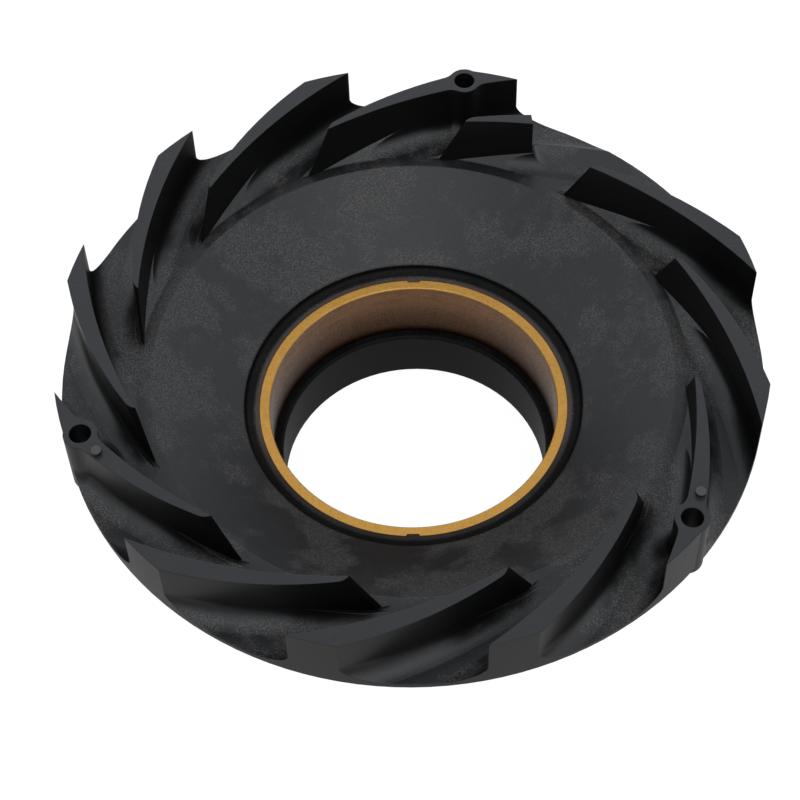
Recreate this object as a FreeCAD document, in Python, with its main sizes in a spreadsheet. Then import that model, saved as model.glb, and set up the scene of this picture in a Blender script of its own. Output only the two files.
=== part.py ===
"""Pool pump guide vane: a dished black plastic moulding with twelve curved vanes and a bronze wear ring.

Lengths are in millimetres and angles in degrees. The sketches measure heights down from the plane of the
vane tops, and the bodies are then raised so that the foot of the hub stands on z = 0. Bearings run
anticlockwise from +X, seen from above, and are given for the first vane; the others follow by the pitch.
"""

import FreeCAD, Part
import math
import os
import re

import Sketcher
from FreeCAD import Placement, Rotation, Vector

SIZES = {
    # The plate that carries the vanes
    "rim_radius": 95.2,
    "rim_thickness": 1.6,
    "vane_height": 16.8,
    "band_depth": 16.1,
    "step_radius": 74.9,
    "step_slope": 28.0,
    # The pocket for the impeller: steep wall, flat band, dish
    "pocket_radius": 75.3,
    "pocket_draft": 5.7,
    "crease_radius": 71.3,
    "dish_radius": 47.0,
    "dish_slope": 33.2,
    "dish_wall": 3.2,
    "recess_cove": 1.95,
    # The vanes
    "vane_count": 12,
    "tip_bearing": 99.9,
    "heel_bearing": 107.81,
    "nose_circle": 73.77,
    "nose_bearing": 144.45,
    "concave_radius": 140.0,
    "convex_radius": 116.0,
    "root_cove": 5.5,
    "cove_rise": 36.0,
    "nose_round": 4.5,
    "nose_setback": 13.0,
    "nose_rake": 26.0,
    # The vane that was left short
    "short_vane": 10,
    "tail_length": 38.4,
    "tail_skew": 22.0,
    "stump_depth": 16.0,
    # Screw bosses and the broken stubs beside two of them
    "boss_count": 3,
    "boss_vane": 11,
    "boss_inset": 4.1,
    "boss_bearing": 109.04,
    "boss_radius": 4.5,
    "boss_blend": 4.5,
    "boss_depth": 20.3,
    "screw_hole_radius": 2.9,
    "stub_vane": 3,
    "stub_inset": 6.3,
    "stub_bearing": 113.6,
    "stub_radius": 1.4,
    "stub_height": 1.2,
    # The wear ring and the keys that hold it
    "ring_inner_radius": 40.05,
    "ring_outer_radius": 42.85,
    "ring_length": 20.6,
    "ring_fit": 0.03,
    "ring_edge": 0.25,
    "key_bearing": 88.6,
    "key_width": 3.8,
    "key_side_slope": 30.0,
    "key_reach": 0.6,
    "key_depth": 2.0,
    # The hub under the ring
    "bore_radius": 37.45,
    "shoulder_round": 1.0,
    "relief_depth": 65.3,
    "relief_step": 0.3,
    "hub_depth": 71.5,
    "seat_wall": 3.8,
    "foot_wall": 3.8,
    "shoulder_floor": 4.0,
    "hub_blend": 4.0,
    "foot_edge": 0.8,
}

# Allowances for tools that cut past a surface, and for solids that are let into each other
OVERLAP = 0.6
OVERRUN = 3.0
CROSSING = 0.01
KEYING = 0.08

# How far round the nose its cutter and its cove go, in degrees
NOSE_SWEEP = 60

# How far the coves run on past the nose and the rim, as a share of their radius
NOSE_RUN = 0.5
CONCAVE_RUN = 3
CONVEX_RUN = 1

# How far the cutter of the nose goes on beyond it, as a share of the set-back, and how far the cutter of
# the short tail reaches, as shares of its length, of the cove on the convex side and on the concave side
NOSE_REACH = 1.2
TAIL_REACH = 1.3
TAIL_CONVEX = 1.2
TAIL_CONCAVE = 3.6


class Model:
    """The document, its table of sizes and the lengths that are worked out from them."""

    def __init__(self, name, sizes):
        self.document = FreeCAD.newDocument(name)
        self.sheet = self.document.addObject("Spreadsheet::Sheet", "Sizes")
        for row, (alias, value) in enumerate(sizes.items(), start=1):
            self.sheet.set(f"A{row}", alias)
            self.sheet.set(f"B{row}", str(value))
            self.sheet.setAlias(f"B{row}", alias)
        self.layout = self.document.addObject("App::VarSet", "Layout")
        self.owners = dict.fromkeys(sizes, "Sizes")
        self.document.recompute()

    def formula(self, text):
        """Write each known name with the object that holds it, as an expression needs."""
        return re.sub(r"[a-z]\w*", lambda word: self.qualified(word.group()), str(text))

    def qualified(self, word):
        return f"{self.owners[word]}.{word}" if word in self.owners else word

    def derive(self, name, text):
        """Keep a length or an angle that follows from the sizes."""
        self.layout.addProperty("App::PropertyFloat", name)
        self.layout.setExpression(name, f"({self.formula(text)}) * 1")
        self.owners[name] = "Layout"
        self.layout.recompute()

    def bind(self, target, path, text):
        target.setExpression(path, self.formula(text))

    def value(self, text):
        result = self.layout.evalExpression(self.formula(text))
        return float(getattr(result, "Value", result))


def lay_out(model):
    """Work out the arcs of the vane, its ends and the main depths."""
    for name in ("tip", "heel"):
        model.derive(f"{name}_x", f"rim_radius * cos({name}_bearing)")
        model.derive(f"{name}_y", f"rim_radius * sin({name}_bearing)")
    model.derive("nose_x", "nose_circle * cos(nose_bearing)")
    model.derive("nose_y", "nose_circle * sin(nose_bearing)")
    for wall, end in (("concave", "tip"), ("convex", "heel")):
        across, up = f"({end}_x - nose_x)", f"({end}_y - nose_y)"
        model.derive(f"{wall}_chord", f"hypot({across}; {up})")
        model.derive(f"{wall}_reach", f"sqrt({wall}_radius^2 - {wall}_chord^2 / 4)")
        model.derive(f"{wall}_x", f"({end}_x + nose_x) / 2 + {wall}_reach * {up} / {wall}_chord")
        model.derive(f"{wall}_y", f"({end}_y + nose_y) / 2 - {wall}_reach * {across} / {wall}_chord")
        model.derive(f"{wall}_end", f"atan2({end}_y - {wall}_y; {end}_x - {wall}_x) / 1deg")
        model.derive(f"{wall}_start", f"atan2(nose_y - {wall}_y; nose_x - {wall}_x) / 1deg")
        model.derive(f"{wall}_degree", f"{wall}_radius * pi / 180")
    model.derive("vane_pitch", "360 / vane_count")
    model.derive("plate_depth", "vane_height + rim_thickness")
    model.derive("dish_depth", "band_depth + (crease_radius - dish_radius) * tan(dish_slope)")
    model.derive("strip_depth", "dish_depth + recess_cove")
    model.derive("ledge_depth", "strip_depth + ring_length")
    model.derive("seat_radius", "ring_outer_radius + ring_fit")
    model.derive("seat_outside", "seat_radius + seat_wall")
    model.derive("foot_outside", "bore_radius + relief_step + foot_wall")
    model.derive("nose_turn", "convex_start - nose_setback / convex_degree")
    model.derive("nose_drift", "(vane_height - root_cove) * tan(nose_rake)")
    model.derive("foot_turn", "nose_turn + nose_drift / convex_degree")
    model.derive("tail_turn", "concave_end + tail_length / concave_degree")
    model.derive("short_turn", "short_vane * vane_pitch")
    model.derive("boss_circle", "rim_radius - boss_inset")
    model.derive("boss_turn", "boss_bearing + boss_vane * vane_pitch")
    model.derive("boss_pitch", "360 / boss_count")
    model.derive("stub_circle", "rim_radius - stub_inset")
    model.derive("stub_turn", "stub_bearing + stub_vane * vane_pitch")


def polar(radius, bearing):
    """The two coordinates of a point given by its radius and bearing."""
    return f"({radius}) * cos({bearing})", f"({radius}) * sin({bearing})"


def origin_item(body, role):
    return next(item for item in body.Origin.OriginFeatures if item.Role == role)


def new_sketch(model, body, name, role="XY_Plane", centre=("0", "0"), bearing="0"):
    """A sketch on an origin plane; an upright one can stand at a centre and face along a bearing."""
    sketch = body.newObject("Sketcher::SketchObject", name)
    sketch.AttachmentSupport = [(origin_item(body, role), "")]
    sketch.MapMode = "FlatFace"
    if role == "XZ_Plane":
        turn = model.value(bearing)
        sketch.AttachmentOffset = Placement(Vector(), Rotation(Vector(0, 1, 0), turn or 1))
        model.bind(sketch, "AttachmentOffset.Base.x", centre[0])
        model.bind(sketch, "AttachmentOffset.Base.z", f"-({centre[1]})")
        model.bind(sketch, "AttachmentOffset.Rotation.Angle", bearing)
    return sketch


def outline(model, sketch, corners):
    """Draw a closed outline. Each corner is a pair of formulas, and an arc to the next corner adds its
    radius and the side of the way on which its centre lies, 1 for left and -1 for right."""
    points = [Vector(model.value(corner[0]), model.value(corner[1]), 0) for corner in corners]
    first = sketch.GeometryCount
    ends = []
    for index, corner in enumerate(corners):
        start, stop = points[index], points[(index + 1) % len(points)]
        if len(corner) == 2:
            sketch.addGeometry(Part.LineSegment(start, stop), False)
            ends.append((1, 2))
            continue
        radius, side = model.value(corner[2]), corner[3]
        way = stop - start
        height = math.sqrt(max(radius**2 - way.Length**2 / 4, 0))
        centre = (start + stop) / 2 + Vector(-way.y, way.x, 0).normalize() * height * side
        angles = [math.atan2(point.y - centre.y, point.x - centre.x) for point in (start, stop)]
        circle = Part.Circle(centre, Vector(0, 0, 1), radius)
        arc = sketch.addGeometry(Part.ArcOfCircle(circle, *angles[::side]), False)
        sketch.addConstraint(Sketcher.Constraint("Radius", arc, radius))
        model.bind(sketch, f"Constraints[{sketch.ConstraintCount - 1}]", corner[2])
        ends.append((1, 2) if side == 1 else (2, 1))
    for index, corner in enumerate(corners):
        following = (index + 1) % len(corners)
        joined = (first + index, ends[index][1], first + following, ends[following][0])
        sketch.addConstraint(Sketcher.Constraint("Coincident", *joined))
        for kind, formula in (("DistanceX", corner[0]), ("DistanceY", corner[1])):
            held = sketch.addConstraint(
                Sketcher.Constraint(kind, -1, 1, first + index, ends[index][0], model.value(formula))
            )
            model.bind(sketch, f"Constraints[{held}]", formula)


def circle(model, sketch, centre, radius):
    """Draw one circle, held by its centre and radius."""
    x, y, size = (model.value(formula) for formula in (*centre, radius))
    ring = sketch.addGeometry(Part.Circle(Vector(x, y, 0), Vector(0, 0, 1), size), False)
    for constraint, formula in (
        (Sketcher.Constraint("DistanceX", -1, 1, ring, 3, x), centre[0]),
        (Sketcher.Constraint("DistanceY", -1, 1, ring, 3, y), centre[1]),
        (Sketcher.Constraint("Radius", ring, size), radius),
    ):
        model.bind(sketch, f"Constraints[{sketch.addConstraint(constraint)}]", formula)


def feature(model, body, kind, name, sketch, **formulas):
    """A sketch-based feature with its lengths and angles bound to formulas."""
    result = body.newObject(f"PartDesign::{kind}", name)
    result.Profile = sketch
    if kind in ("Revolution", "Groove"):
        result.ReferenceAxis = (sketch, ["V_Axis"])
    for path, text in formulas.items():
        model.bind(result, path, text)
    return result


def polar_pattern(model, body, name, originals, count):
    """Repeat the features all round the axis."""
    pattern = body.newObject("PartDesign::PolarPattern", name)
    pattern.Originals = originals
    pattern.Axis = (origin_item(body, "Z_Axis"), [""])
    model.bind(pattern, "Occurrences", count)
    body.Tip = pattern
    model.document.recompute()


def blank(model, body):
    """The turned blank: the plate, its dished back and the hub, with stock where the pocket comes."""
    rise = f"({OVERRUN} * tan(step_slope))"
    back = "dish_wall / cos(dish_slope)"
    corners = [
        (f"rim_radius + {OVERRUN}", "-vane_height"),
        ("step_radius", "-vane_height"),
        (f"step_radius - {OVERRUN}", f"-vane_height + {rise}"),
        (f"bore_radius - {OVERRUN}", f"-vane_height + {rise}"),
        (f"bore_radius - {OVERRUN}", "-hub_depth"),
        ("foot_outside - foot_edge", "-hub_depth"),
        ("foot_outside", "-hub_depth + foot_edge"),
        ("foot_outside", "-ledge_depth - shoulder_floor"),
        ("seat_outside", "-ledge_depth - shoulder_floor + seat_outside - foot_outside"),
        ("seat_outside", f"-dish_depth - {back} + (seat_outside - dish_radius) * tan(dish_slope)"),
        (f"crease_radius + (band_depth + {back} - plate_depth) / tan(dish_slope)", "-plate_depth"),
        (f"rim_radius + {OVERRUN}", "-plate_depth"),
    ]
    sketch = new_sketch(model, body, "BlankSection", "XZ_Plane")
    outline(model, sketch, corners)
    turned = feature(model, body, "Revolution", "Blank", sketch)
    model.document.recompute()
    radius = model.value("seat_outside")

    def under_dish(edge):
        high = model.value("-dish_depth - dish_wall / cos(dish_slope)") - model.value("hub_blend")
        circle = edge.Curve
        return isinstance(circle, Part.Circle) and abs(circle.Radius - radius) < 0.01 and circle.Center.z > high

    corner = [f"Edge{number}" for number, edge in enumerate(turned.Shape.Edges, start=1) if under_dish(edge)]
    blend = body.newObject("PartDesign::Fillet", "HubBlend")
    blend.Base = (turned, corner)
    model.bind(blend, "Radius", "hub_blend")
    model.document.recompute()


def vanes(model, body):
    """Twelve vanes, each between two arcs, with a raked and rounded leading edge."""
    sketch = new_sketch(model, body, "VanePlan")

    ends = {}
    for wall in ("concave", "convex"):
        x, y = polar(f"{wall}_radius", f"{wall}_end - {OVERRUN} / {wall}_degree")
        ends[wall] = (f"{wall}_x + {x}", f"{wall}_y + {y}")
    corners = [
        ("nose_x", "nose_y", "concave_radius", -1),
        ends["concave"],
        (*ends["convex"], "convex_radius", 1),
    ]
    outline(model, sketch, corners)
    vane = feature(model, body, "Pad", "Vane", sketch, Length=f"vane_height + {OVERLAP}")
    vane.Reversed = True
    model.document.recompute()
    nose = nose_cut(model, body)
    polar_pattern(model, body, "Vanes", [vane, nose], "vane_count")


def nose_cut(model, body):
    """Round the end of the vane off its convex wall, along the rake of the leading edge."""
    inset = f"(convex_radius - nose_round + {CROSSING})"
    centre = tuple(f"convex_{axis} + {part}" for axis, part in zip("xy", polar(inset, "nose_turn")))
    onward = polar("nose_setback", "concave_start + 90")

    def spot(radius, turn, steps=0):
        along = polar(radius, f"nose_turn + {turn}")
        return tuple(f"{centre[i]} + {along[i]} + {steps} * {onward[i]}" for i in (0, 1))

    sketch = new_sketch(model, body, "NosePlan")
    corners = [
        spot(f"nose_round + {OVERRUN}", 0),
        spot(f"nose_round + {OVERRUN}", 0, NOSE_REACH),
        spot("nose_round", NOSE_SWEEP, NOSE_REACH),
        (*spot("nose_round", NOSE_SWEEP), "nose_round", -1),
        spot("nose_round", 0),
    ]
    outline(model, sketch, corners)
    cut = feature(model, body, "Pocket", "NoseCut", sketch, Length="band_depth")
    cut.UseCustomVector = True
    across = "sin(nose_rake)"
    cut.Direction = Vector(
        model.value(f"{across} * cos(concave_start + 90)"),
        model.value(f"{across} * sin(concave_start + 90)"),
        -model.value("cos(nose_rake)"),
    )
    model.bind(cut, "Direction.x", f"{across} * cos(concave_start + 90)")
    model.bind(cut, "Direction.y", f"{across} * sin(concave_start + 90)")
    model.bind(cut, "Direction.z", "-cos(nose_rake)")
    model.document.recompute()
    return cut


def boss_places(model):
    """The centre of each boss, as a pair of formulas."""
    count = round(model.value("boss_count"))
    return [polar("boss_circle", f"boss_turn + {index} * boss_pitch") for index in range(count)]


def boss_circles(model, sketch, radius):
    for place in boss_places(model):
        circle(model, sketch, place, radius)


def boss_posts(model, body):
    """Screw bosses that swell out of three vanes, blended into both walls."""
    sketch = new_sketch(model, body, "BossPlan")
    boss_circles(model, sketch, "boss_radius")
    post = feature(model, body, "Pad", "BossPosts", sketch, Length=f"vane_height + {OVERLAP}")
    post.Reversed = True
    model.document.recompute()
    radius = model.value("boss_radius")
    centres = [Vector(*map(model.value, place), 0) for place in boss_places(model)]

    def on_boss(edge):
        middle = Vector(edge.CenterOfMass.x, edge.CenterOfMass.y, 0)
        upright = abs(edge.tangentAt(edge.FirstParameter).z) > 0.999
        return upright and any(abs(middle.distanceToPoint(centre) - radius) < 0.01 for centre in centres)

    seams = [f"Edge{number}" for number, edge in enumerate(post.Shape.Edges, start=1) if on_boss(edge)]
    blend = body.newObject("PartDesign::Fillet", "BossBlend")
    blend.Base = (post, seams)
    model.bind(blend, "Radius", "boss_blend")
    model.document.recompute()


def cove_section(model, sketch, wall, outward):
    """The corner between a wall and the floor. The wall lies outward (1) or inward (-1) of the open side,
    and the section is let a little way into it."""
    out = "+" if outward == 1 else "-"
    back = "-" if outward == 1 else "+"
    corners = [
        (f"{wall} {out} {KEYING}", f"-vane_height + root_cove - {CROSSING}"),
        (f"{wall} {out} {CROSSING}", f"-vane_height + root_cove - {CROSSING}", "root_cove", -outward),
        (f"{wall} {back} root_cove {out} {CROSSING}", f"-vane_height - {CROSSING}"),
        (f"{wall} {back} root_cove {out} {CROSSING}", f"-vane_height - {OVERLAP}"),
        (f"{wall} {out} {KEYING}", f"-vane_height - {OVERLAP}"),
    ]
    outline(model, sketch, corners)


def wall_coves(model, body):
    """Hollow fillets along the foot of both walls of every vane. The concave one runs on past both ends, to
    where the pocket and the rim cut it off; the convex one is carried on round the foot of the nose."""
    nose = f"concave_start + {NOSE_RUN} * root_cove / concave_degree"
    rim = "{0}_end - {1} * root_cove / {0}_degree"
    coves = []
    for wall, outward, start, end in (
        ("concave", 1, nose, rim.format("concave", CONCAVE_RUN)),
        ("convex", -1, "foot_turn", rim.format("convex", CONVEX_RUN)),
    ):
        centre = (f"{wall}_x", f"{wall}_y")
        middle = f"(({start}) + ({end})) / 2"
        sketch = new_sketch(model, body, f"{wall.title()}CoveSection", "XZ_Plane", centre, middle)
        cove_section(model, sketch, f"{wall}_radius", outward)
        coves.append(revolved(model, body, f"{wall.title()}Cove", sketch, f"({start}) - ({end})"))
    x, y = polar("convex_radius - nose_round", "foot_turn")
    centre, middle = (f"convex_x + {x}", f"convex_y + {y}"), f"foot_turn + {NOSE_SWEEP} / 2"
    sketch = new_sketch(model, body, "NoseCoveSection", "XZ_Plane", centre, middle)
    cove_section(model, sketch, "nose_round", -1)
    coves.append(revolved(model, body, "NoseCove", sketch, NOSE_SWEEP))
    polar_pattern(model, body, "WallCoves", coves, "vane_count")


def coves(model):
    """The hollow fillets at the feet of the vanes, on a thin ring that lies within the plate. They start
    from nothing at the edge of the pocket and grow to their full height on the way out."""
    body = model.document.addObject("PartDesign::Body", "Coves")
    sketch = new_sketch(model, body, "CoveRingSection", "XZ_Plane")
    inner, outer = "step_radius", f"rim_radius + {CONCAVE_RUN} * root_cove"
    under = "-vane_height - rim_thickness / 2"
    outline(model, sketch, [(outer, "-vane_height"), (inner, "-vane_height"), (inner, under), (outer, under)])
    feature(model, body, "Revolution", "CoveRing", sketch)
    wall_coves(model, body)
    boss_coves(model, body)
    sketch = new_sketch(model, body, "CoveRiseSection", "XZ_Plane")
    top = str(OVERRUN)
    corners = [
        (f"{inner} - {OVERRUN}", top),
        (f"{inner} - {OVERRUN}", f"-vane_height - {OVERRUN}"),
        (inner, f"-vane_height - {OVERRUN}"),
        (inner, "-vane_height"),
        (f"{inner} + (vane_height + {OVERRUN}) / tan(cove_rise)", top),
    ]
    outline(model, sketch, corners)
    feature(model, body, "Groove", "CoveRise", sketch)
    model.document.recompute()
    return body


def revolved(model, body, name, sketch, angle):
    """A section turned by an angle, half of it to each side of its sketch."""
    result = feature(model, body, "Revolution", name, sketch, Angle=angle)
    result.Midplane = True
    model.document.recompute()
    return result


def boss_coves(model, body):
    """The same hollow fillet round the foot of each boss."""
    centre = polar("boss_circle", "boss_turn")
    sketch = new_sketch(model, body, "BossCoveSection", "XZ_Plane", centre, "boss_turn")
    cove_section(model, sketch, "boss_radius", -1)
    cove = feature(model, body, "Revolution", "BossCove", sketch)
    model.document.recompute()
    polar_pattern(model, body, "BossCoves", [cove], "boss_count")


def short_tail(model, body):
    """One vane stops short: its tail is cut down to a low stump, with a cove at the foot of the end."""
    x, y = polar("concave_radius", "tail_turn")
    x, y = f"(concave_x + {x})", f"(concave_y + {y})"
    turned = (
        f"{x} * cos(short_turn) - {y} * sin(short_turn)",
        f"{x} * sin(short_turn) + {y} * cos(short_turn)",
    )
    chord = "(tail_turn + concave_end) / 2 - 90 + short_turn"
    sketch = new_sketch(model, body, "TailSection", "XZ_Plane", turned, chord)
    corners = [
        ("0", str(OVERRUN)),
        ("0", "-stump_depth + root_cove", "root_cove", 1),
        ("root_cove", "-stump_depth"),
        (f"{TAIL_REACH} * tail_length + {OVERRUN}", "-stump_depth"),
        (f"{TAIL_REACH} * tail_length + {OVERRUN}", str(OVERRUN)),
    ]
    outline(model, sketch, corners)
    sides = {"Length": f"{TAIL_CONCAVE} * root_cove", "Length2": f"{TAIL_CONVEX} * root_cove"}
    cut = feature(model, body, "Pocket", "TailCut", sketch, **sides)
    cut.SideType = "Two sides"
    cut.UseCustomVector = True
    across = f"{chord} + 90 + tail_skew"
    cut.Direction = Vector(model.value(f"cos({across})"), model.value(f"sin({across})"), 0)
    model.bind(cut, "Direction.x", f"cos({across})")
    model.bind(cut, "Direction.y", f"sin({across})")
    model.document.recompute()


def pocket_and_rim(model, body):
    """Turn the rim to size, then the pocket, dish, ring seat and bore in one cut."""
    sketch = new_sketch(model, body, "RimSection", "XZ_Plane")
    outer = f"rim_radius + {CONCAVE_RUN} * root_cove"
    corners = [
        ("rim_radius", str(OVERRUN)),
        ("rim_radius", f"-plate_depth - {OVERRUN}"),
        (outer, f"-plate_depth - {OVERRUN}"),
        (outer, str(OVERRUN)),
    ]
    outline(model, sketch, corners)
    feature(model, body, "Groove", "RimTurn", sketch)
    sketch = new_sketch(model, body, "PocketSection", "XZ_Plane")
    core = f"bore_radius - 2 * {OVERRUN}"
    corners = [
        (f"pocket_radius + {OVERRUN} * tan(pocket_draft)", str(OVERRUN)),
        ("pocket_radius - band_depth * tan(pocket_draft)", "-band_depth"),
        ("crease_radius", "-band_depth"),
        ("dish_radius", "-dish_depth", "recess_cove", -1),
        ("dish_radius - recess_cove", "-strip_depth"),
        ("seat_radius", "-strip_depth"),
        ("seat_radius", "-ledge_depth"),
        ("bore_radius + shoulder_round", "-ledge_depth", "shoulder_round", 1),
        ("bore_radius", "-ledge_depth - shoulder_round"),
        ("bore_radius", "-relief_depth"),
        ("bore_radius + relief_step", "-relief_depth - relief_step"),
        ("bore_radius + relief_step", f"-hub_depth - {OVERRUN}"),
        (core, f"-hub_depth - {OVERRUN}"),
        (core, str(OVERRUN)),
    ]
    outline(model, sketch, corners)
    feature(model, body, "Groove", "PocketTurn", sketch)
    model.document.recompute()


def boss_stems(model, body):
    """Each boss stands a little proud of the rim and goes on below it; a screw hole runs through."""
    sketch = new_sketch(model, body, "StemPlan")
    boss_circles(model, sketch, "boss_radius")
    stems = feature(model, body, "Pad", "BossStems", sketch, Length="boss_depth")
    stems.Reversed = True
    sketch = new_sketch(model, body, "HolePlan")
    boss_circles(model, sketch, "screw_hole_radius")
    feature(model, body, "Pocket", "ScrewHoles", sketch, Length=f"boss_depth + {OVERRUN}")
    model.document.recompute()


def stubs(model, body):
    """What is left of two locating pins."""
    sketch = new_sketch(model, body, "StubPlan")
    for turn in ("stub_turn", "stub_turn + boss_pitch"):
        circle(model, sketch, polar("stub_circle", turn), "stub_radius")
    both = feature(model, body, "Pad", "Stubs", sketch, Length="stub_height", Length2=str(OVERLAP))
    both.SideType = "Two sides"
    model.document.recompute()


def key_plan(model, body, name, outside, growth="0"):
    """Both keys in plan, widest at the root; growth widens them all round for the notches."""
    sketch = new_sketch(model, body, name)
    half, side = f"(key_width / 2 + {growth})", "key_reach * tan(key_side_slope)"
    spots = [
        (outside, half),
        ("ring_outer_radius", half),
        (f"ring_outer_radius - key_reach - {growth}", f"{half} - {side}"),
        (f"ring_outer_radius - key_reach - {growth}", f"-{half} + {side}"),
        ("ring_outer_radius", f"-{half}"),
        (outside, f"-{half}"),
    ]
    for facing in ("1", "-1"):
        corners = [
            (
                f"{facing} * (({along}) * cos(key_bearing) - ({across}) * sin(key_bearing))",
                f"{facing} * (({along}) * sin(key_bearing) + ({across}) * cos(key_bearing))",
            )
            for along, across in spots
        ]
        outline(model, sketch, corners)
    return sketch


def ring_keys(model, body):
    """Two keys of the moulding reach into the ring."""
    sketch = key_plan(model, body, "KeyPlan", f"seat_radius + {OVERLAP}")
    keys = feature(model, body, "Pad", "RingKeys", sketch, Length="strip_depth + key_depth", Length2="-strip_depth")
    keys.SideType = "Two sides"
    keys.Reversed = True
    model.document.recompute()


def join(model, body, other):
    """Let another body into this one."""
    joined = body.newObject("PartDesign::Boolean", "Joined")
    joined.Type = "Fuse"
    joined.setObjects([other])
    body.Tip = joined
    model.document.recompute()


def guide_vane(model):
    """The whole moulding."""
    body = model.document.addObject("PartDesign::Body", "GuideVane")
    body.Label = "guide_vane"
    blank(model, body)
    vanes(model, body)
    boss_posts(model, body)
    join(model, body, coves(model))
    short_tail(model, body)
    pocket_and_rim(model, body)
    boss_stems(model, body)
    stubs(model, body)
    ring_keys(model, body)
    return body


def wear_ring(model):
    """The bronze ring, with a notch for each key."""
    body = model.document.addObject("PartDesign::Body", "WearRing")
    body.Label = "wear_ring"
    sketch = new_sketch(model, body, "RingSection", "XZ_Plane")
    corners = [
        ("ring_inner_radius", "-strip_depth - ring_edge"),
        ("ring_inner_radius + ring_edge", "-strip_depth"),
        ("ring_outer_radius", "-strip_depth"),
        ("ring_outer_radius", "-ledge_depth"),
        ("ring_inner_radius", "-ledge_depth"),
    ]
    outline(model, sketch, corners)
    feature(model, body, "Revolution", "Ring", sketch)
    sketch = key_plan(model, body, "NotchPlan", f"ring_outer_radius + {OVERLAP}", "ring_fit")
    feature(model, body, "Pocket", "KeyNotches", sketch, Length="strip_depth + key_depth + ring_fit")
    model.document.recompute()
    return body


def check(model, bodies):
    """Stop if any object failed or any body has no valid solid."""
    for item in model.document.Objects:
        if {"Invalid", "Error"} & set(item.State):
            raise RuntimeError(f"{item.Name} failed: {item.State}")
    for body in bodies:
        if body.Shape.isNull() or not body.Shape.isValid():
            raise RuntimeError(f"{body.Label} has no valid shape")


def main():
    model = Model("PumpGuideVane", SIZES)
    lay_out(model)
    bodies = [guide_vane(model), wear_ring(model)]
    for body in bodies:
        model.bind(body, "Placement.Base.z", "hub_depth")
    model.document.recompute()
    check(model, bodies)
    os.makedirs("parts", exist_ok=True)
    for body in bodies:
        body.Shape.exportStep(f"parts/{body.Label}.step")
        print(body.Label, round(body.Shape.Volume), "mm3", len(body.Shape.Faces), "faces")


main()
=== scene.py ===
# %% [markdown]
# # A pool pump's guide vane
#
# The real thing is one black moulding: a dished plate, a ring of curved vanes on its rim and a short hub
# below, with a bronze wear ring set into the eye. Its shape is settled in the CAD model, so this lesson is
# about the finish: how nearly black plastic still shows its form, and how turned bronze differs from it.

import math

import bpy
import numpy as np
from mathutils import Euler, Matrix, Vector


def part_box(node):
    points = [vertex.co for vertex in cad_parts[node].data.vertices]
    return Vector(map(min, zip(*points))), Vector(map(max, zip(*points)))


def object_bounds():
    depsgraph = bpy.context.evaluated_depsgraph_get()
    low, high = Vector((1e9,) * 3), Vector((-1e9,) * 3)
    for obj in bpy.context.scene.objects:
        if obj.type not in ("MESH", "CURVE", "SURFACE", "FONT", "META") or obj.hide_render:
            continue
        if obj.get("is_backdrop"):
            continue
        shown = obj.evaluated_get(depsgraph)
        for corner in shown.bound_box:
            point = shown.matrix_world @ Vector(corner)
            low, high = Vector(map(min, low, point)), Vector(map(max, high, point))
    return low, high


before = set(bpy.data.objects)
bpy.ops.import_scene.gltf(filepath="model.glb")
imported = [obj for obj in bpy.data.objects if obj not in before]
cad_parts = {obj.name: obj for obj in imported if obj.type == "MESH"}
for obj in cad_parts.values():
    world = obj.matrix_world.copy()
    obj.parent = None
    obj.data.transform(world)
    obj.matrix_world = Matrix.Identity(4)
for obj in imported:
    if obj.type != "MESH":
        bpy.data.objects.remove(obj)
scene = bpy.context.scene
cad_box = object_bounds()
MM = 0.001

vane_high, ring_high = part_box("guide_vane")[1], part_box("wear_ring")[1]
STUB_HEIGHT = 1.2 * MM
vane_tops = vane_high.z - STUB_HEIGHT
print("frame:", sorted(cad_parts), "vane tops at", round(vane_tops / MM, 1), "mm")

# %% [markdown]
# ## Shader maths as plain expressions
#
# A finish is a sum of small patterns. Wiring them by hand takes a node for each plus and times, so one
# small class wraps a socket and turns Python's operators into Math nodes. Every other kind of node comes
# from one method that is told the node's type, its settings and what goes into its sockets.

# %% A class for shader expressions


class Socket:
    """An output of a shader node that can be used in a Python expression."""

    def __init__(self, finish, output):
        self.finish, self.output = finish, output

    def maths(self, operation, first, second=None):
        values = {0: first} if second is None else {0: first, 1: second}
        return self.finish.node("ShaderNodeMath", {"operation": operation}, values)

    def __add__(self, other):
        return self.maths("ADD", self, other)

    def __sub__(self, other):
        return self.maths("SUBTRACT", self, other)

    def __rsub__(self, other):
        return self.maths("SUBTRACT", other, self)

    def __mul__(self, other):
        return self.maths("MULTIPLY", self, other)

    def __truediv__(self, other):
        return self.maths("DIVIDE", self, other)

    def __pow__(self, other):
        return self.maths("POWER", self, other)

    def __abs__(self):
        return self.maths("ABSOLUTE", self)

    def __round__(self):
        return self.maths("ROUND", self)

    __radd__ = __add__
    __rmul__ = __mul__

    def step(self, low, high):
        """0 below low, 1 above high and a smooth rise between; low may be the larger, for a fall."""
        return self.finish.node(
            "ShaderNodeMapRange",
            {"interpolation_type": "SMOOTHSTEP"},
            {"Value": self, "From Min": low, "From Max": high},
        )


# %% [markdown]
# ## A finish as a class
#
# Both finishes ask the same questions of a point: how high it is, how far from the axis, at what bearing,
# and how near a sharp edge. The last comes from the Bevel node, which rounds the normals close to an edge:
# where its rounded normal leaves the true one, an edge is near. It also takes the knife sharpness off.

# %% Two classes, for node trees and for finishes


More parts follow.
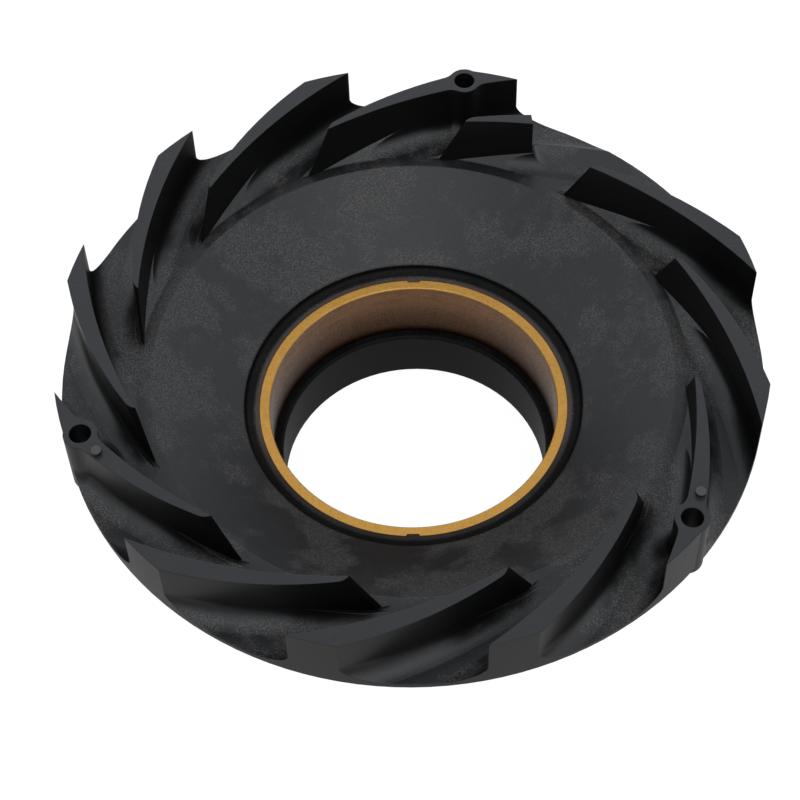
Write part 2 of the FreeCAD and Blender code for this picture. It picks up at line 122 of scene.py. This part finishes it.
class Nodes:
    """A node tree that patterns are added to."""

    def __init__(self, tree):
        self.tree = tree

    def node(self, kind, settings=None, values=None, output=0):
        """Add a node: its settings first, then numbers or links for its sockets; returns one output."""
        made = self.tree.nodes.new(kind)
        for name, setting in (settings or {}).items():
            setattr(made, name, setting)
        for name, value in (values or {}).items():
            if isinstance(value, Socket):
                self.tree.links.new(value.output, made.inputs[name])
            else:
                made.inputs[name].default_value = value
        return Socket(self, made.outputs[output])

    def part(self, axis, vector=None):
        """X, Y or Z of a vector, which is the object's own coordinates in metres if none is given."""
        return self.node("ShaderNodeSeparateXYZ", values={0: vector or self.place}, output=axis)

    def blend(self, share, first, second):
        """A colour between two colours."""
        mix = {"data_type": "RGBA"}
        return self.node("ShaderNodeMix", mix, {"Factor": share, 6: first, 7: second}, output=2)


class Finish(Nodes):
    """A material with one Principled shader, and the patterns that its sockets are fed with."""

    def __init__(self, name, **constants):
        self.material = bpy.data.materials.new(name)
        self.material.use_nodes = True
        super().__init__(self.material.node_tree)
        self.shader = self.tree.nodes["Principled BSDF"]
        self.set(self.shader, constants)
        self.place = self.node("ShaderNodeTexCoord", output="Object")

    def set(self, shader, constants):
        for socket, value in constants.items():
            shader.inputs[socket.replace("_", " ")].default_value = value

    def from_axis(self):
        """The distance from the part's axis, in metres, and the bearing round it, in radians."""
        x, y = self.part("X"), self.part("Y")
        return (x * x + y * y) ** 0.5, x.maths("ARCTAN2", y, x)

    def noise(self, size, detail=2.0, roughness=0.5, place=None):
        """A cloudy pattern from 0 to 1 whose lumps are about this size, in metres."""
        lumps = {"Scale": 1 / size, "Detail": detail, "Roughness": roughness}
        return self.node("ShaderNodeTexNoise", values={"Vector": place or self.place, **lumps})

    def rounding(self, radius):
        """Normals rounded off near edges, and a mask that is 1 on a square edge and 0 away from it."""
        normal = self.node("ShaderNodeBevel", {"samples": 8}, {"Radius": radius})
        true = self.node("ShaderNodeNewGeometry", output="Normal")
        turned = {0: normal, 1: true}
        alike = self.node("ShaderNodeVectorMath", {"operation": "DOT_PRODUCT"}, turned, output="Value")
        return normal, (1 - alike).step(0.08, 0.25)

    def bump(self, height, distance, normal):
        """Relief from a height of 0 to 1 that stands this far proud, in metres."""
        relief = {"Height": height, "Distance": distance, "Normal": normal}
        return self.node("ShaderNodeBump", values=relief)

    def feed(self, **sources):
        for name, source in sources.items():
            self.tree.links.new(source.output, self.shader.inputs[name.replace("_", " ")])

    def over(self, share, **constants):
        """Lay a second, plain Principled shader over the first where the share is above 0."""
        second = self.tree.nodes.new("ShaderNodeBsdfPrincipled")
        self.set(second, constants)
        layers = {1: Socket(self, self.shader.outputs[0]), 2: Socket(self, second.outputs[0])}
        mixed = self.node("ShaderNodeMixShader", values={0: share, **layers})
        self.tree.links.new(mixed.output, self.tree.nodes["Material Output"].inputs["Surface"])


def grey(value, warmth=0.0):
    """A grey as a colour, a little red for warmth above 0 and blue below."""
    return (value * (1 + warmth), value, value * (1 - warmth), 1.0)


# %% [markdown]
# ## Black moulded plastic
#
# The moulding is filled plastic, so dark that almost all of what is seen of it is gloss: flat tops mirror
# the bright room softly, and walls that mirror only each other go black. On the deck and in the channels
# lies a thin bluish film, and over it a chalky bloom in ragged patches a centimetre or two across, full of
# pale specks not half a millimetre wide. Square edges carry a fine dark line of painted shade, and the
# tops are painted a little lighter than the rest, which is painted light.

# %% The plastic
PLASTIC = 0.003
PAINTED_LIGHT_TOP = 0.015
FILM = 0.007
SPECK = 0.08
STUB_HIGHLIGHT = 0.05
EDGE_ROUNDING = 0.35 * MM

plastic = Finish("black_moulded_plastic", IOR=1.5)
height = plastic.part("Z")
radius, bearing = plastic.from_axis()
# The edge mask feeds a fine dark line of painted shade along square edges, further down.
rounded, edge = plastic.rounding(EDGE_ROUNDING)
facing = plastic.node("ShaderNodeNewGeometry", output="Normal")
upright = plastic.part("Z", facing)
upward, steep = upright.step(0.45, 0.97), abs(upright).step(0.75, 0.35)


def above(low, high):
    """0 this deep below the vane tops and 1 from the second depth up, both in millimetres."""
    return height.step(vane_tops - low * MM, vane_tops - high * MM)


def near_circle(at, reach, core):
    """1 within the core's distance of a circle round the axis and 0 beyond its reach, in millimetres."""
    return abs(radius - at * MM).step(reach * MM, core * MM)


on_tops, on_stubs = above(0.4, 0.2), above(-0.5, -0.8)
clouds = plastic.noise(6 * MM, detail=4, roughness=0.6)
patches = (plastic.noise(20 * MM, detail=7, roughness=0.62) * 0.8 + clouds * 0.2).step(0.45, 0.55)
grain = plastic.noise(0.42 * MM, detail=2, roughness=0.8)
specks = grain.step(0.41, 0.68) * (0.15 + 0.85 * patches)
film = upward * (1 - 0.92 * on_tops)
print("plastic so far:", len(plastic.tree.nodes), "nodes")

# %% [markdown]
# ## Marks that the mould left
#
# Pins push the moulding out of its mould, and each leaves a faint circle: one near the tip of every vane,
# a small one near its nose, and a double one where the nose meets the deck. A mark is a ring in polar
# terms: its distance from a point that is repeated at every vane, compared with its own radius.

# %% The pin marks
PITCH = math.radians(30)


def pin_ring(at_radius, at_bearing, size):
    """1 on a thin circle of this diameter round the same point of each vane, and 0 elsewhere.

    The bearing from the point is counted in pitches, and rounding takes the whole pitches away."""
    pitches = (bearing - math.radians(at_bearing)) / PITCH
    along = (pitches - round(pitches)) * (PITCH * at_radius)
    distance = ((radius - at_radius) ** 2 + along**2) ** 0.5
    return abs(distance - size / 2).step(0.22 * MM, 0.08 * MM)


on_top_marks = pin_ring(92.6 * MM, 107.4, 3.4 * MM) + pin_ring(77.3 * MM, 133.96, 1.3 * MM)
on_deck_marks = pin_ring(73.9 * MM, 144.3, 3.3 * MM) + pin_ring(73.9 * MM, 144.3, 1.7 * MM)
marks = on_top_marks * on_tops + on_deck_marks * (1 - on_tops) * upward

# %% [markdown]
# Where the channels meet the pocket the model has a step less than a millimetre high. In the photograph it
# hardly shows, so its slope is shaded as if it were level, while the shape stays as it is.

# %% The step between the channels and the pocket
STEP_MIDDLE = 74.25
on_step = near_circle(STEP_MIDDLE, 1.1, 0.75) * upright.step(0.78, 0.85)
level = {"Factor": on_step, 4: rounded, 5: (0.0, 0.0, 1.0)}
levelled = plastic.node("ShaderNodeMix", {"data_type": "VECTOR"}, level, output=1)

# %% The plastic's colour, gloss and relief
BROWN_LINE = 43.4
BROWN_HIGHLIGHT = (0.06, 0.028, 0.011, 1.0)
# A thin brown line on the deck's edge just outside the ring is a painted highlight.
on_brown_highlight = near_circle(BROWN_LINE, 1.1, 0.2) * above(36, 33)
# The vane tops get a lighter colour than the rest of the plastic: painted light.
base = plastic.blend(on_tops * upward, grey(PLASTIC, -0.05), grey(PAINTED_LIGHT_TOP, -0.1))
base = plastic.blend(film * (1 - 0.5 * marks) * (0.4 + clouds), base, grey(FILM, -0.12))
base = plastic.blend(film * specks, base, grey(SPECK, 0.06))
base = plastic.blend(on_brown_highlight * 0.8, base, BROWN_HIGHLIGHT)
# The tops of the stubs are painted lighter grey: a painted highlight.
base = plastic.blend(on_stubs, base, grey(STUB_HIGHLIGHT))
plastic.feed(
    Base_Color=base,
    Roughness=0.27 + 0.06 * film + 0.1 * clouds + 0.08 * film * patches,
    Normal=plastic.bump(grain * (0.3 + 0.7 * film) - marks, 0.035 * MM, levelled),
)

# %% [markdown]
# The walls of the vanes, the hollow round the ring, the ledge below it on the near side, the bore and
# the square edges get painted shade: a dull black layer with almost no gloss. What is left of the gloss is
# a product of shares.

# %% Where shade is painted on the plastic
COVE_MIDDLE = 45.7
in_recess = above(36, 34)
in_cove = near_circle(COVE_MIDDLE, 2.0, 0.8) * in_recess
on_near_side = (plastic.part("Y") / radius).step(-0.1, -0.6)
in_strip = radius.step(46.5 * MM, 46 * MM) * in_recess * on_near_side
in_bore = radius.step(41.5 * MM, 40.5 * MM)
unshaded_gloss = (1 - 0.75 * edge) * (1 - 0.85 * in_cove) * (1 - 0.6 * in_strip)
unshaded_gloss = unshaded_gloss * (1 - steep * (0.66 + 0.2 * in_bore)) * (1 - 0.86 * in_bore * (1 - steep))
# The dull black layer laid over here is painted shade.
plastic.over(1 - unshaded_gloss, Base_Color=grey(PLASTIC), Roughness=0.9, Specular_IOR_Level=0.05)
print("plastic:", len(plastic.tree.nodes), "nodes")

# %% [markdown]
# ## Turned bronze
#
# The ring was turned on a lathe, so its top and its bore carry very fine circles. The top is bright but
# pitted, the bore is dull and streaked with darker brown along the way the water went round, and the
# bronze turns darker brown towards its lower edge.

# %% The bronze
BRIGHT = (0.74, 0.40, 0.093, 1.0)
DULL = (0.165, 0.082, 0.038, 1.0)
BROWN = (0.03, 0.015, 0.008, 1.0)

bronze = Finish("turned_bronze", Metallic=1.0)
radius, bearing = bronze.from_axis()
depth = ring_high.z - bronze.part("Z")
rounded, edge = bronze.rounding(0.2 * MM)
turning = bronze.node("ShaderNodeCombineXYZ", values={"X": radius, "Y": depth, "Z": bearing * 0.2 * MM})
lines = bronze.noise(0.22 * MM, detail=3, place=turning)
pits = bronze.noise(0.45 * MM, detail=3, roughness=0.7).step(0.42, 0.66)
stain = bronze.noise(6 * MM, detail=4, roughness=0.65)
round_the_bore = bronze.node("ShaderNodeCombineXYZ", values={"X": bearing * ring_high.x, "Y": depth * 5})
streaks = bronze.noise(11 * MM, detail=4, roughness=0.6, place=round_the_bore).step(0.45, 0.72)
in_bore = depth.step(0.1 * MM, 0.6 * MM)
# Darker brown towards the ring's lower edge.
low_down = depth.step(2 * MM, 15 * MM)
brown_share = 0.7 * low_down + 0.14 * stain + 0.12 * pits + 0.3 * streaks * in_bore * (1 - low_down)
bronze.feed(
    Base_Color=bronze.blend(brown_share, bronze.blend(in_bore, BRIGHT, DULL), BROWN),
    Roughness=0.34 + 0.18 * pits + 0.1 * stain,
    Normal=bronze.bump(lines * 0.5 + pits, 0.012 * MM, rounded),
)
# A dark brown line along the ring's square edges is painted shade.
bronze.over(edge * 0.5, Base_Color=(0.03, 0.015, 0.007, 1.0), Roughness=0.8)
print("bronze:", len(bronze.tree.nodes), "nodes")

# %% [markdown]
# ## Put the finishes on the solids
#
# Both solids keep the shape that the CAD model gave them, and only their materials change.

# %% Dress the nodes
for name, finish in (("guide_vane", plastic), ("wear_ring", bronze)):
    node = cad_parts[name]
    node.data.materials.clear()
    node.data.materials.append(finish.material)
    print(name, len(node.data.polygons), "triangles")

# %% [markdown]
# ## Floor and light
#
# The photograph shows no shadow, as if the part lay on a light table in an evenly lit tent. So the floor is
# a wide white sheet that glows, and the room is almost the same white all round.

# %% The floor
FLOOR_HALF = 3.0


def flat_sheet(half, rows):
    """A square grid on z = 0: x and y each run evenly from -half to half."""
    line = np.linspace(-half, half, rows)
    x, y = np.meshgrid(line, line)
    points = np.stack([x, y, np.zeros_like(x)], axis=-1).reshape(-1, 3)
    corner = (np.arange(rows - 1)[:, None] * rows + np.arange(rows - 1)).ravel()
    faces = np.stack([corner, corner + 1, corner + rows + 1, corner + rows], axis=-1)
    mesh = bpy.data.meshes.new("floor")
    mesh.from_pydata(points, [], faces.tolist())
    return bpy.data.objects.new("floor", mesh)


floor = flat_sheet(FLOOR_HALF, 9)
scene.collection.objects.link(floor)
floor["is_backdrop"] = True
white = (1.0, 1.0, 1.0, 1.0)
sheet = Finish(
    "light_table", Base_Color=grey(0.12), Roughness=0.9, Emission_Color=white, Emission_Strength=0.95
)
floor.data.materials.append(sheet.material)

# %% [markdown]
# The flat tops are mirrors for the part of the room beyond them: the far ones look at 48 degrees of
# height, the near ones at 63 degrees, and the near ones are darker. So the room is bright low down and
# dimmer overhead. A softbox on the camera's side lifts the far half of the dish, which faces it.

# %% The room
room = bpy.data.worlds.new("room")
room.use_nodes = True
scene.world = room
sky = Nodes(room.node_tree)
rise = sky.part("Z", sky.node("ShaderNodeTexCoord", output="Generated"))
BRIGHT_UP_TO, DIM_FROM = math.radians(46), math.radians(75)
overhead = rise.step(math.sin(BRIGHT_UP_TO), math.sin(DIM_FROM))
bright_wall, dim_ceiling = (0.90, 0.935, 0.99, 1.0), (0.57, 0.59, 0.625, 1.0)
colour = sky.blend(overhead, bright_wall, dim_ceiling)
room.node_tree.links.new(colour.output, room.node_tree.nodes["Background"].inputs["Color"])

# %% The softbox


def softbox(name, place, target, size, power):
    """A square area light at a place, facing a target."""
    data = bpy.data.lights.new(name, "AREA")
    data.size, data.energy = size, power
    lamp = bpy.data.objects.new(name, data)
    lamp.location = place
    lamp.rotation_euler = (Vector(target) - Vector(place)).to_track_quat("-Z", "Y").to_euler()
    lamp.visible_camera = False
    scene.collection.objects.link(lamp)
    return lamp


softbox("front", (0.1, -0.55, 0.95), (0, 0, 0.05), 0.9, 2.0)

# %% [markdown]
# ## The camera
#
# The photograph looks down at 54 degrees from close by. The camera stands on the near side, aims at the
# axis in the plane of the vane tops, and is rolled by a degree and a half. The aim point isn't the middle
# of the picture, so the lens is shifted a little instead of turning the camera.

# %% Camera
VIEW_ELEVATION = 54.025
VIEW_DISTANCE = 0.566399
VIEW_ROLL = -1.559
FOCAL_IN_PICTURE_WIDTHS = 2130.465 / 800
AIM_IN_PICTURE = (411.474 / 800, 331.305 / 800)

elevation = math.radians(VIEW_ELEVATION)
aim = Vector((0, 0, vane_tops))
camera_data = bpy.data.cameras.new("camera")
camera_data.sensor_width = 36
camera_data.lens = FOCAL_IN_PICTURE_WIDTHS * camera_data.sensor_width
camera_data.shift_x = 0.5 - AIM_IN_PICTURE[0]
camera_data.shift_y = AIM_IN_PICTURE[1] - 0.5
camera = bpy.data.objects.new("camera", camera_data)
camera.location = aim + VIEW_DISTANCE * Vector((0, -math.cos(elevation), math.sin(elevation)))
upright = Euler((math.pi / 2 - elevation, 0, 0)).to_quaternion()
roll = Euler((0, 0, math.radians(VIEW_ROLL))).to_quaternion()
camera.rotation_euler = (upright @ roll).to_euler()
scene.collection.objects.link(camera)
scene.camera = camera
scene.view_settings.view_transform = "Standard"
print("camera at", [round(value, 4) for value in camera.location], "lens", round(camera_data.lens, 2))

# %% Measure the sizes of the CAD model and of the scene, and finish
seen_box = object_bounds()
{"cad": [list(c) for c in cad_box], "visual": [list(c) for c in seen_box]}
